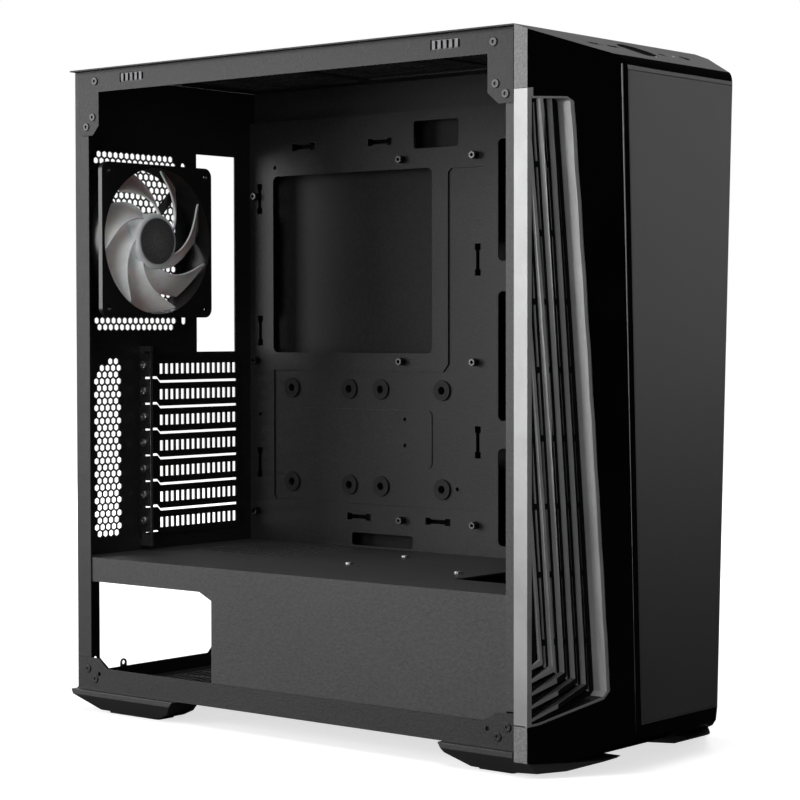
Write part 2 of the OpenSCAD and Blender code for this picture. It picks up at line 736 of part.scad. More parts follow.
// The vent in the left wing, g smaller all round.
vent_low = 17;
vent_top = 428.8;
bar_low = [39.2, 38];
bar_top = [15.8, 422.5];
module vent_outline(g) polygon([
    [side_edge - 1, vent_low + g], [side_edge + 6, vent_low + 1.6 + g], [bar_low[0] - 3 - g / 2, bar_low[1] - 4 + g],
    [bar_low[0] - g, bar_low[1] + 1], [bar_top[0] - g, bar_top[1] - 2], [bar_top[0] - 3, bar_top[1] + 1 - g],
    [side_edge + 2.6, bar_top[1] + 1 - g], [side_edge + 2.6 - g, vent_top - g], [side_edge - 1, vent_top - g]]);

// A frame on the sloping top: x across, y up the slope, z out of it.
slope_run = 28;                                 // from the crease to the buttons
module on_slope(x, s = slope_run)
    translate([x, -(crease + s * cos(slope)), body_h - s * sin(slope)]) rotate([slope, 0, 0]) children();

power_x = 98;
power_r = 14;
reset_x = 157;
reset_r = 4;
light_x = 143;
jack_x = 129;
usb_x = [49, 71];
usb_open = [13.2, 5.8];
board_mid = mid_x;                                // control board under the slope
board_drop = 12;
board_post = 69;

module shell_ribs() intersection() {
    right_copy() for (z = clip_heights) box(5, 19, body_l + 4, 450, z - 5, z + 5);
    front_solid(shell_wall - 0.4, body_l + 4);
}

module front_shell() in_case() color("#0c0c0c") difference() {
    union() {
        difference() {
            front_solid(0, body_l + 0.3);
            front_solid(shell_wall, body_l - 2);
            sheet_y(face_v - 2.2, 6) face_outline(0.5);
        }
        // wall behind the face, clip ribs, posts of the control board
        sheet_y(face_v - 4.8, 2.6) face_outline(-3);
        shell_ribs();
        for (x = [-board_post, board_post]) on_slope(board_mid + x) {
            translate([0, 0, -board_drop]) cylinder(h = board_drop - 1, r = 3);
            translate([0, 0, -board_drop - 2.6]) cylinder(h = 3, r = 1.4);
        }
    }
    right_copy() sheet_y(body_l - 4, face_v) vent_outline(0);
    on_slope(power_x) cylinder(h = 20, r = power_r + 0.3, center = true);
    on_slope(reset_x) cylinder(h = 20, r = reset_r + 0.3, center = true);
    on_slope(light_x) cylinder(h = 20, r = 1.25, center = true);
    on_slope(jack_x) cylinder(h = 20, r = 3.3, center = true);
    for (x = usb_x) on_slope(x) cube([usb_open[0], usb_open[1], 20], center = true);
}

module front_face() in_case() color("#2b2b2b") sheet_y(face_v - 2.1, 2.1) face_outline(0.8);

fins = 5;
fin_step = [6.87, -4.33];
fin_low = [2.4, 59.1];
fin_w = 1.4;
leg_h = 1.5;
fin_lean = -0.0576;
leg_rise = 0.6;
fin_depth = 4;
vent_wall = 1.4;
vent_floor_t = 1.8;

// A rib with its leg, w wide.
module fin_outline(j, w) {
    c = fin_low + j * fin_step;
    rise = vent_top - c[1];
    run = c[0] - side_edge + 1;
    polygon([c + [-w / 2, 1], c + [w / 2, 0], c + [w / 2 + fin_lean * rise, rise], c + [-w / 2 + fin_lean * rise, rise]]);
    polygon([c + [w / 2, 2], c + [w / 2, -1.2], c + [-run, -leg_rise * run - 1.2],
             c + [-run, -leg_rise * run - 1.2 + leg_h], c + [-w / 2, 2]]);
}

// The vent's floor starts at the side strip and lies deepest beside the bar; rise lifts it.
bar_depth = 10.7;
function bar_x(z) = bar_low[0] + (bar_top[0] - bar_low[0]) * (z - bar_low[1]) / (bar_top[1] - bar_low[1]);
function wing_at(x, z) = wing_v + (x - side_edge) * (face_v - wing_v) / (inset_at(z) - side_edge);
function floor_at(x, z) = wing_v + (x - side_edge) * (wing_at(bar_x(z), z) - bar_depth - wing_v) / (bar_x(z) - side_edge);
module recess(rise, rear) lofted([for (z = level_z) let (a = side_edge - 2, b = bar_x(z) + 3)
    [[a, rear], [a, floor_at(a, z) + rise], [b, floor_at(b, z) + rise], [b, rear]]], level_z);

// Air slots in the floor between the ribs, with bridges.
slot_gap = 1.8;
bridges = [70 : 44 : 420];
module vent_slots() intersection() {
    difference() {
        for (j = [0 : fins - 1]) translate(fin_step / 2) fin_outline(j, slot_gap);
        for (z = bridges) span([side_edge - 5, z], [bar_low[0] + 5, z + 4]);
        span([side_edge - 5, vent_low - 9], [side_edge + 3.4, vent_top]);
    }
    vent_outline(4);
}

module vent() color("#9a9a9a") {
    intersection() {
        front_block(0);
        difference() {
            sheet_y(body_l, front_depth) vent_outline(0.25);
            recess(-vent_floor_t, body_l - 4);
            // space above the floor, with the ribs left standing in it
            difference() {
                sheet_y(body_l, front_depth + 2) vent_outline(0.25 + vent_wall);
                recess(0, body_l - 2);
                intersection() {
                    recess(fin_depth, body_l - 2);
                    sheet_y(body_l, front_depth) for (j = [0 : fins - 1]) fin_outline(j, fin_w);
                }
            }
            sheet_y(body_l, front_depth + 2) vent_slots();
        }
    }
    // side strip
    intersection() {
        front_block(0);
        box(side_edge, side_edge + 2.4, body_l + 0.3, wing_v + 2, vent_low + 1.2, vent_top - 0.3);
    }
}

module left_vent() in_case() vent();

module right_vent() in_case() to_right() vent();

module front_filter() in_case() color("#161616") sheet_y(body_l + 1.6, 1.4) difference() {
    round_rect([20, 24], [body_w - 20, 442], 4);
    filter_ribs([25, 30], [body_w - 25, 436], 4, 9, 3);
}

module front_clips() in_case() color("#1a1a1a") right_copy() for (z = clip_heights) {
    rod_y(12, body_l + 0.3, z, 5, 3.7);
    difference() {
        translate([12, -body_l - 0.3, z]) rotate([-90, 0, 0]) {
            cylinder(h = 4.6, r = 2.8);
            translate([0, 0, 4.6]) cylinder(h = 2.4, r = 3.2);
            translate([0, 0, 7]) cylinder(h = 2.6, r1 = 3.2, r2 = 1.8);
        }
        box(11.5, 12.5, body_l - 10, body_l - 0.7, z - 5, z + 5);
    }
}

// Front controls --------------------------------------------------------------

module io_board() in_case() color("#123a22") on_slope(board_mid) translate([0, 0, -board_drop]) difference() {
    translate([-72, -10, -1.6]) cube([144, 20, 1.6]);
    for (x = [-board_post, board_post]) translate([x, 0, -3]) cylinder(h = 5, r = 1.5);
}

module usb_ports() in_case() color("#b9bcc0") for (x = usb_x) on_slope(x) {
    difference() {
        translate([-6.4, -2.7, -board_drop]) cube([12.8, 5.4, board_drop - 0.6]);
        translate([-5.9, -2.2, -board_drop + 1]) cube([11.8, 4.4, board_drop]);
    }
    translate([-5.2, 0.2, -board_drop + 1]) cube([10.4, 1.6, board_drop - 3]);
}

module audio_jack() in_case() color("#1b1b1b") on_slope(jack_x) difference() {
    union() {
        translate([-4, -4, -board_drop]) cube([8, 8, board_drop - 4.4]);
        translate([0, 0, -5]) cylinder(h = 4.6, r = 3.1);
    }
    translate([0, 0, -board_drop + 1.5]) cylinder(h = board_drop, r = 1.8);
}

module button_switches() in_case() color("#303030") for (x = [power_x, reset_x]) on_slope(x)
    translate([0, 0, -board_drop]) {
        translate([-3, -3, 0]) cube([6, 6, 3.6]);
        translate([0, 0, 3.6]) cylinder(h = 0.9, r = 1.7);
    }

module status_light() in_case() color("#e6eef2") on_slope(light_x) translate([0, 0, -board_drop]) {
    cylinder(h = board_drop + 0.2, r = 1.15);
    cylinder(h = 2, r = 2.4);
}

// A button: cap, and a stem that stops short of its switch by the travel.
module button(r) {
    cap = 3.2;
    translate([0, 0, 0.4 - cap]) cylinder(h = cap, r = r, $fn = 96);
    translate([0, 0, -board_drop + 4.5 + press + 0.3]) cylinder(h = board_drop - 4.5 - press - 2.6, r = 2.2);
    translate([0, 0, -cap - 1]) cylinder(h = 1.6, r = r + 1);
}

module power_button() in_case() color("#101010") on_slope(power_x) button(power_r);

module reset_button() in_case() color("#101010") on_slope(reset_x) button(reset_r);

// Feet ------------------------------------------------------------------------
pad_h = 1.8;
foot_low = pad_h - foot_h;

// The outer side stands upright for a ledge's height, then leans inwards.
foot_ledge = 4;
foot_lean = 32;
module foot_bevel() translate([side_edge, -body_l - 60, -foot_ledge]) rotate([0, -foot_lean, 0])
    translate([-20, 0, -30]) cube([20, body_l + 80, 30]);

// Rear foot, from the rear corner forwards.
module rear_foot() difference() {
    sheet_x(side_edge, 32) polygon([[-1.8, 0], [-0.3, -3.6], [24, foot_low], [88, foot_low], [98, -10.5], [107.4, 0]]);
    rod_z(foot_screw_spots[0][0], foot_screw_spots[0][1], -9, 1.6, 10);
    foot_bevel();
}

module front_foot() difference() {
    intersection() {
        sheet_x(side_edge, 66) polygon([[356.5, 0], [361, -7], [380, foot_low], [414, foot_low], [446, -12.3],
                                        [456, -8.6], [459.5, low_edge - 0.5], [body_l - 0.6, low_edge - 0.5], [body_l - 0.6, 0]]);
        front_block_plan(0.6);
    }
    rod_z(foot_screw_spots[1][0], foot_screw_spots[1][1], -9, 1.6, 10);
    foot_bevel();
}

// The plan of the case's front-left quarter, as an upright prism.
module front_block_plan(g) sheet_z(-foot_h, foot_h + 1) polygon([
    [side_edge, 340], [side_edge, wing_v - g], [inset_at(0) + 3, face_v - 1], [mid_x, face_v - 1], [mid_x, 340]]);

module front_left_foot() in_case() color("#121212") front_foot();

module front_right_foot() in_case() color("#121212") to_right() front_foot();

module rear_left_foot() in_case() color("#121212") rear_foot();

module rear_right_foot() in_case() color("#121212") to_right() rear_foot();

module foot_pads() in_case() color("#050505") right_copy() {
    sheet_z(-foot_h, pad_h) round_rect([4, 30], [22, 84], 3);
    sheet_z(-foot_h, pad_h) round_rect([6, 382], [40, 412], 3);
}

module foot_screws() in_case() color("#7d7d7d") right_copy() for (p = foot_screw_spots) {
    rod_z(p[0], p[1], sheet, 3.6, 2);
    rod_z(p[0], p[1], -8, 1.55, 8 + sheet);
}

// Drawing -----------------------------------------------------------------------
rear_panel();
bottom_panel();
front_frame();
top_frame();
top_panel();
board_tray();
power_supply_shroud();
slot_screw_bar();
slot_screws();
frame_rivets();
panel_spring_clips();
board_standoffs();
drive_grommets();
supply_pads();
drive_cage();
drive_rails();
lower_drive_tray();
upper_drive_tray();
cage_screws();
fan_frame();
fan_screws();
fan_bearing();
fan_stator();
fan_board();
fan_rotor();
fan_magnet();
fan_shaft();
fan_hub_cap();
right_side_panel();
side_thumbscrews();
top_filter();
supply_filter();
front_shell();
front_face();
left_vent();
right_vent();
front_filter();
front_clips();
io_board();
usb_ports();
audio_jack();
button_switches();
status_light();
power_button();
reset_button();
front_left_foot();
front_right_foot();
rear_left_foot();
rear_right_foot();
foot_pads();
foot_screws();
for (i = [1 : slots])
    slot_cover(i);
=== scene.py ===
"""Desktop computer tower: the looks of an open, empty steel case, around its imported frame."""

import json
import logging
import math
from dataclasses import dataclass, field
from enum import Enum
from typing import Iterable, Sequence

import bpy
from mathutils import Matrix, Vector


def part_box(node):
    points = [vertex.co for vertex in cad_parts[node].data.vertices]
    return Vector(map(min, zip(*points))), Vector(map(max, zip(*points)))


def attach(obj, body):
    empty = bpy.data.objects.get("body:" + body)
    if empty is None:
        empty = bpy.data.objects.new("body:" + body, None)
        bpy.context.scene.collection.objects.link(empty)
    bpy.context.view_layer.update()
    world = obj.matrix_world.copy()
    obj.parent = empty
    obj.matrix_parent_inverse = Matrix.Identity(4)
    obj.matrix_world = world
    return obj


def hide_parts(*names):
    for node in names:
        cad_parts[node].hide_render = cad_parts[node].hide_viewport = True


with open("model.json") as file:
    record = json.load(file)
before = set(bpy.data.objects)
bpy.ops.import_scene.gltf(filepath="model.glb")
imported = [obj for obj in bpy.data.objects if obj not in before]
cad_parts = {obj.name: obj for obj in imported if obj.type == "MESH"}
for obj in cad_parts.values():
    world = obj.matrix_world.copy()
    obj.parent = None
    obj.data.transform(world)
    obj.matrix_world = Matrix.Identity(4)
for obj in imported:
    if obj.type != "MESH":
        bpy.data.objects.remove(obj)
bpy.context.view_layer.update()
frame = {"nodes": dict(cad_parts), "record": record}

LOG = logging.getLogger("tower")
Colour = tuple[float, float, float]

MM = 0.001
WELD_GAP = 1e-6         # points closer than this, m, are one
FLAT_ANGLE = 0.25       # faces closer in slope than this, degrees, are one face
WHITE = (1.0, 1.0, 1.0, 1.0)
MIX_FACTOR, MIX_FIRST, MIX_SECOND, MIX_RESULT = 0, 6, 7, 2      # a Mix node's sockets for colours


# --- Measuring the case --------------------------------------------------------

@dataclass(frozen=True)
class CaseFrame:
    """The steel body's own corner frame: x from the open side, v from the rear, z from the floor, in mm."""

    left: float
    rear: float
    floor: float

    @classmethod
    def measured(cls) -> "CaseFrame":
        """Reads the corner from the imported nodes.

        Returns:
            The frame of the case as it stands.
        """
        low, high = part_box("bottom_panel")
        return cls(left=low[0], rear=high[1], floor=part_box("board_tray")[0][2] - MM)

    def at(self, x: float, v: float, z: float) -> Vector:
        """Turns corner measures into a place.

        Args:
            x: Distance from the open side, mm.
            v: Distance in front of the rear sheet, mm.
            z: Height above the steel floor, mm.

        Returns:
            The place in metres in the frame that every piece shares.
        """
        return Vector((self.left + x * MM, self.rear - v * MM, self.floor + z * MM))


# --- Shader maths ----------------------------------------------------------------

class Value:
    """A number that varies over a surface; Python's operators add Math nodes to it."""

    def __init__(self, graph: "Graph", socket: bpy.types.NodeSocket) -> None:
        """Wraps a socket.

        Args:
            graph: The material's node graph.
            socket: The output that carries the number.
        """
        self.graph = graph
        self.socket = socket

    def _maths(self, operation: str, first: object, second: object) -> "Value":
        """Adds one Math node and returns its result."""
        node = self.graph.node("ShaderNodeMath", {"operation": operation}, {0: first, 1: second})
        return Value(self.graph, node.outputs[0])

    def __add__(self, other: object) -> "Value":
        """Sum."""
        return self._maths("ADD", self, other)

    def __radd__(self, other: object) -> "Value":
        """Sum, number first."""
        return self._maths("ADD", other, self)

    def __sub__(self, other: object) -> "Value":
        """Difference."""
        return self._maths("SUBTRACT", self, other)

    def __rsub__(self, other: object) -> "Value":
        """Difference, number first."""
        return self._maths("SUBTRACT", other, self)

    def __mul__(self, other: object) -> "Value":
        """Product."""
        return self._maths("MULTIPLY", self, other)

    def __rmul__(self, other: object) -> "Value":
        """Product, number first."""
        return self._maths("MULTIPLY", other, self)

    def __pow__(self, other: object) -> "Value":
        """Power."""
        return self._maths("POWER", self, other)

    def above(self, limit: float) -> "Value":
        """One where the value is above a limit, zero elsewhere."""
        return self._maths("GREATER_THAN", self, limit)

    def below(self, limit: float) -> "Value":
        """One where the value is below a limit, zero elsewhere."""
        return self._maths("LESS_THAN", self, limit)

    def wave(self) -> "Value":
        """The sine of the value."""
        return self._maths("SINE", self, 0.0)

    def size(self) -> "Value":
        """The value without its sign."""
        return self._maths("ABSOLUTE", self, 0.0)

    def larger(self, other: object) -> "Value":
        """The larger of two values."""
        return self._maths("MAXIMUM", self, other)

    def cycle(self, length: float) -> "Value":
        """The rest after division by a length, for a repeated pattern."""
        return self._maths("FLOORED_MODULO", self, length)

    def ramp(self, low: float, high: float) -> "Value":
        """Smooth change from 0 at low to 1 at high."""
        node = self.graph.node("ShaderNodeMapRange", {"interpolation_type": "SMOOTHSTEP", "clamp": True},
                               {"Value": self, "From Min": low, "From Max": high,
                                "To Min": 0.0, "To Max": 1.0})
        return Value(self.graph, node.outputs[0])


class Graph:
    """The node graph of one material."""

    def __init__(self, name: str) -> None:
        """Starts a material.

        Args:
            name: The finish's name.
        """
        self.material = bpy.data.materials.new(name)
        self.material.use_nodes = True
        self.tree = self.material.node_tree
        self.tree.nodes.clear()
        self.place = self.node("ShaderNodeTexCoord", {}, {}).outputs["Object"]

    def node(self, kind: str, settings: dict[str, object], inputs: dict[object, object]) -> bpy.types.Node:
        """Adds a node.

        Args:
            kind: The node's type.
            settings: Attributes, set first.
            inputs: Socket name or number to a number, colour, Value or socket.

        Returns:
            The node.
        """
        made = self.tree.nodes.new(kind)
        for key, value in settings.items():
            setattr(made, key, value)
        for key, value in inputs.items():
            if isinstance(value, Value):
                value = value.socket
            if isinstance(value, bpy.types.NodeSocket):
                self.tree.links.new(value, made.inputs[key])
            else:
                made.inputs[key].default_value = value
        return made

    def stretched(self, scale: Sequence[float]) -> bpy.types.NodeSocket:
        """Object coordinates scaled on each axis.

        Args:
            scale: Factors for X, Y and Z.

        Returns:
            The scaled coordinates.
        """
        return self.node("ShaderNodeMapping", {}, {"Vector": self.place, "Scale": tuple(scale)}).outputs[0]

    def noise(self, per_metre: float, detail: float = 2.0, scale: Sequence[float] = (1, 1, 1)) -> Value:
        """Soft noise, about 0.5 on average.

        Args:
            per_metre: How many waves a metre holds.
            detail: Octaves.
            scale: Stretch on each axis.

        Returns:
            The noise.
        """
        node = self.node("ShaderNodeTexNoise", {}, {"Vector": self.stretched(scale), "Scale": per_metre,
                                                    "Detail": detail, "Roughness": 0.6})
        return Value(self, node.outputs[0])

    def cells(self, per_metre: float) -> Value:
        """Distance to the nearest of scattered points, for pebbled grain.

        Args:
            per_metre: How many cells a metre holds.

        Returns:
            The distance, 0 at a point.
        """
        node = self.node("ShaderNodeTexVoronoi", {}, {"Vector": self.place, "Scale": per_metre})
        return Value(self, node.outputs["Distance"])

    def axis(self, name: str) -> Value:
        """One object coordinate in metres.

        Args:
            name: X, Y or Z.

        Returns:
            The coordinate.
        """
        split = self.node("ShaderNodeSeparateXYZ", {}, {"Vector": self.place})
        return Value(self, split.outputs[name])

    def facing(self, name: str) -> Value:
        """One part of the surface's true normal.

        Args:
            name: X, Y or Z.

        Returns:
            That part, from -1 to 1.
        """
        geometry = self.node("ShaderNodeNewGeometry", {}, {})
        split = self.node("ShaderNodeSeparateXYZ", {}, {"Vector": geometry.outputs["True Normal"]})
        return Value(self, split.outputs[name])

    def mixed(self, mask: Value | float, first: object, second: object) -> bpy.types.NodeSocket:
        """A colour between two.

        Args:
            mask: 0 for the first, 1 for the second.
            first: A colour or colour socket.
            second: A colour or colour socket.

        Returns:
            The mixed colour.
        """
        def four(colour: object) -> object:
            """Adds the fourth number that a colour socket wants."""
            return (*colour, 1.0) if isinstance(colour, tuple) else colour
        node = self.node("ShaderNodeMix", {"data_type": "RGBA"},
                         {MIX_FACTOR: mask, MIX_FIRST: four(first), MIX_SECOND: four(second)})
        return node.outputs[MIX_RESULT]

    def bump(self, height: Value, depth: float) -> bpy.types.NodeSocket:
        """Relief.

        Args:
            height: The relief's height, 0 to 1.
            depth: What 1 stands for, m.

        Returns:
            The normal.
        """
        node = self.node("ShaderNodeBump", {}, {"Height": height, "Distance": depth, "Strength": 1.0})
        return node.outputs[0]

    def finish(self, **sockets: object) -> bpy.types.Material:
        """Adds the surface shader.

        Args:
            sockets: Names of the shader's sockets, with _ for a space, and their values.

        Returns:
            The finished material.
        """
        inputs = {}
        for key, value in sockets.items():
            if isinstance(value, tuple) and len(value) == 3:
                value = (*value, 1.0)
            inputs[key.replace("_", " ")] = value
        shader = self.node("ShaderNodeBsdfPrincipled", {}, inputs)
        self.node("ShaderNodeOutputMaterial", {}, {"Surface": shader.outputs[0]})
        return self.material


def toned(colour: Colour, factor: float) -> Colour:
    """A colour made lighter or darker.

    Args:
        colour: The colour.
        factor: Above 1 for lighter, below 1 for darker.

    Returns:
        The new colour.
    """
    return tuple(c * factor for c in colour)


# --- Finishes ----------------------------------------------------------------------

@dataclass(frozen=True)
class PowderCoat:
    """Powder coat with a fine pebbled grain and slightly uneven colour."""

    name: str
    colour: Colour
    grain: float = 900.0
    depth: float = 0.00012
    roughness: float = 0.5
    contrast: float = 0.35
    specular: float = 0.5

    def make(self) -> bpy.types.Material:
        """Builds the material."""
        g = Graph(self.name)
        pebble = g.cells(self.grain)
        cloud = g.noise(self.grain * 0.45, 3.0)
        patch = g.noise(9.0, 3.0)
        tone = cloud.ramp(0.3, 0.7) * 0.7 + patch.ramp(0.25, 0.75) * 0.3
        dark, light = toned(self.colour, 1 - self.contrast), toned(self.colour, 1 + self.contrast)
        return g.finish(Base_Color=g.mixed(tone, dark, light), Roughness=cloud * 0.2 + (self.roughness - 0.1),
                        Specular_IOR_Level=self.specular,
                        Normal=g.bump(pebble * 0.6 + cloud * 0.6, self.depth))


@dataclass(frozen=True)
class Plastic:
    """Moulded plastic: fine spark-eroded texture, or polished when its grain is shallow."""

    name: str
    colour: Colour
    roughness: float = 0.45
    grain: float = 2200.0
    depth: float = 0.00003
    contrast: float = 0.12
    specular: float = 0.5

    def make(self) -> bpy.types.Material:
        """Builds the material."""
        g = Graph(self.name)
        fine = g.noise(self.grain, 2.0)
        patch = g.noise(14.0, 4.0)
        dark, light = toned(self.colour, 1 - self.contrast), toned(self.colour, 1 + self.contrast)
        return g.finish(Base_Color=g.mixed(patch.ramp(0.3, 0.7) * 0.6 + fine * 0.4, dark, light),
                        Roughness=patch * 0.08 + (self.roughness - 0.04) + fine * 0.04,
                        Specular_IOR_Level=self.specular, Normal=g.bump(fine, self.depth))


@dataclass(frozen=True)
class Metal:
    """Plated or bare metal with drawn or turned lines."""

    name: str
    colour: Colour
    roughness: float = 0.3
    line: Sequence[float] = (1, 1, 1)

    def make(self) -> bpy.types.Material:
        """Builds the material."""
        g = Graph(self.name)
        lines = g.noise(1500.0, 3.0, self.line)
        smear = g.noise(160.0, 3.0)
        return g.finish(Base_Color=g.mixed(smear.ramp(0.35, 0.7), self.colour, toned(self.colour, 0.8)),
                        Metallic=1.0,
                        Roughness=lines * 0.18 + smear * 0.14 + (self.roughness - 0.16),
                        Normal=g.bump(lines, 0.00002))


@dataclass(frozen=True)
class Frosted:
    """Cloudy translucent plastic, lighter where light gathers in its thin edges."""

    name: str
    colour: Colour

    def make(self) -> bpy.types.Material:
        """Builds the material."""
        g = Graph(self.name)
        cloud = g.noise(60.0, 3.0)
        fine = g.noise(2500.0, 2.0)
        light = tuple(min(1.0, c * 1.25) for c in self.colour)
        return g.finish(Base_Color=g.mixed(cloud.ramp(0.3, 0.7), self.colour, light),
                        Roughness=fine * 0.1 + 0.27,
                        Subsurface_Weight=0.25, Subsurface_Scale=0.004, Normal=g.bump(fine, 0.00002))


@dataclass(frozen=True)
class MeshCloth:
    """Woven dust mesh: square holes cut by alpha, wires rounded by relief."""

    name: str
    colour: Colour
    pitch: float = 0.0016
    wire: float = 0.42
    across: tuple[str, str] = ("X", "Y")

    def make(self) -> bpy.types.Material:
        """Builds the material."""
        g = Graph(self.name)
        solid, height = None, None
        for name in self.across:
            along = g.axis(name).cycle(self.pitch) * (1 / self.pitch) - 0.5
            wire = along.size().below(self.wire / 2)
            crown = 1.0 - along.size().ramp(0.0, self.wire / 2)
            solid = wire if solid is None else solid.larger(wire)
            height = crown if height is None else height.larger(crown)
        return g.finish(Base_Color=self.colour, Roughness=height * -0.1 + 0.55, Alpha=solid,
                        Normal=g.bump(height, 0.0003))


@dataclass(frozen=True)
class ShellPlastic:
    """The front panel's skin: polished wings, a semi-matt top and nose, and sides with a coarse grain. The
    light grey of the upward faces is painted light on black semi-matt plastic, and the light grey of the side
    faces is a painted sheen under their real grain.
    """

    name: str
    gloss: Colour = (0.0012, 0.0012, 0.0013)
    # painted light: the upward faces' light grey stands for lamp light on the black semi-matt top
    satin_top_with_painted_light: Colour = (0.15, 0.15, 0.151)
    nose: Colour = (0.016, 0.016, 0.0164)
    # painted sheen: the side faces' light grey stands for a lamp's reflection on black plastic
    grained_side_sheen: Colour = (0.15, 0.15, 0.151)
    straight: float = 0.97
    sloping: float = 0.915

    def make(self) -> bpy.types.Material:
        """Builds the material."""
        g = Graph(self.name)
        # side faces: painted sheen in the colour, plus real grain and a rougher finish
        grained_side_sheen = g.facing("X").size().above(self.straight)
        top = g.facing("Z").above(self.sloping)
        nose = g.facing("Y").below(-self.straight)
        matt = grained_side_sheen.larger(top).larger(nose)
        fine = g.noise(2400.0, 2.0)
        grain = g.noise(900.0, 3.0)
        cloud = g.noise(12.0, 3.0)
        # upward faces: real semi-matt finish, light grey from painted light
        satin_top_with_painted_light = g.mixed(cloud.ramp(0.3, 0.7), self.satin_top_with_painted_light, toned(self.satin_top_with_painted_light, 1.15))
        skin = g.mixed(nose, g.mixed(top, self.gloss, satin_top_with_painted_light), self.nose)
        # side faces: real grain over the painted sheen
        sheen_and_grain = g.mixed(grain.ramp(0.3, 0.7), toned(self.grained_side_sheen, 0.7), toned(self.grained_side_sheen, 1.3))
        polished, satin_rough = 0.04 + cloud * 0.04, 0.33 + fine * 0.08
        rough = (1.0 - matt) * polished + matt * satin_rough + grained_side_sheen * 0.12
        return g.finish(Base_Color=g.mixed(grained_side_sheen, skin, sheen_and_grain), Roughness=rough,
                        Normal=g.bump(fine * matt * 0.4 + grain * grained_side_sheen * 0.6, 0.00005))


@dataclass(frozen=True)
class VentPlastic:
    """Satin metal-look lacquer on the flanks of the vent's ribs and bar, black on its floor and ends."""

    name: str
    colour: Colour = (0.25, 0.25, 0.252)
    black: Colour = (0.004, 0.004, 0.0042)

    def make(self) -> bpy.types.Material:
        """Builds the material."""
        g = Graph(self.name)
        cloud = g.noise(30.0, 3.0)
        fine = g.noise(2600.0, 2.0)
        flank = g.facing("X").size().ramp(0.5, 0.7)
        lacquer = g.mixed(cloud.ramp(0.3, 0.7), self.colour, toned(self.colour, 1.2))
        return g.finish(Base_Color=g.mixed(flank, self.black, lacquer), Metallic=flank * 0.5,
                        Roughness=fine * 0.06 + cloud * 0.05 + flank * 0.13 + 0.2,
                        Normal=g.bump(fine, 0.00001))


@dataclass(frozen=True)
class CircuitBoard:
    """Solder mask with traces and flecks of tinned pads."""

    name: str
    colour: Colour = (0.01, 0.06, 0.03)
    tin: Colour = (0.55, 0.55, 0.5)

    def make(self) -> bpy.types.Material:
        """Builds the material."""
        g = Graph(self.name)
        pads = g.cells(420.0).below(0.16)
        traces = g.noise(260.0, 0.0, (1, 0.2, 1)).ramp(0.5, 0.56)
        mask = g.mixed(traces, self.colour, toned(self.colour, 1.8))
        return g.finish(Base_Color=g.mixed(pads, mask, self.tin), Metallic=pads * 0.9,
                        Roughness=pads * -0.05 + 0.3, Normal=g.bump(traces, 0.00004))


@dataclass(frozen=True)
class HubDisc:
    """The dark disc on the fan's hub, with fine rings."""

    name: str
    centre: tuple[float, float]
    colour: Colour = (0.125, 0.125, 0.125)
    pale_radius: float = 0.018
    rings: float = 9000.0

    def make(self) -> bpy.types.Material:
        """Builds the material."""
        g = Graph(self.name)
        x = g.axis("X") - self.centre[0]
        z = g.axis("Z") - self.centre[1]
        radius = (x * x + z * z) ** 0.5
        rings = (radius * self.rings).wave() * 0.5 + 0.5
        fleck = g.cells(900.0).ramp(0.2, 0.6)
        tone = g.mixed(radius.ramp(0.0, self.pale_radius), toned(self.colour, 1.7), self.colour)
        return g.finish(Base_Color=g.mixed(fleck * 0.5, tone, toned(self.colour, 0.4)),
                        Roughness=fleck * 0.15 + 0.45, Normal=g.bump(rings * 0.6 + fleck * 0.4, 0.00008))


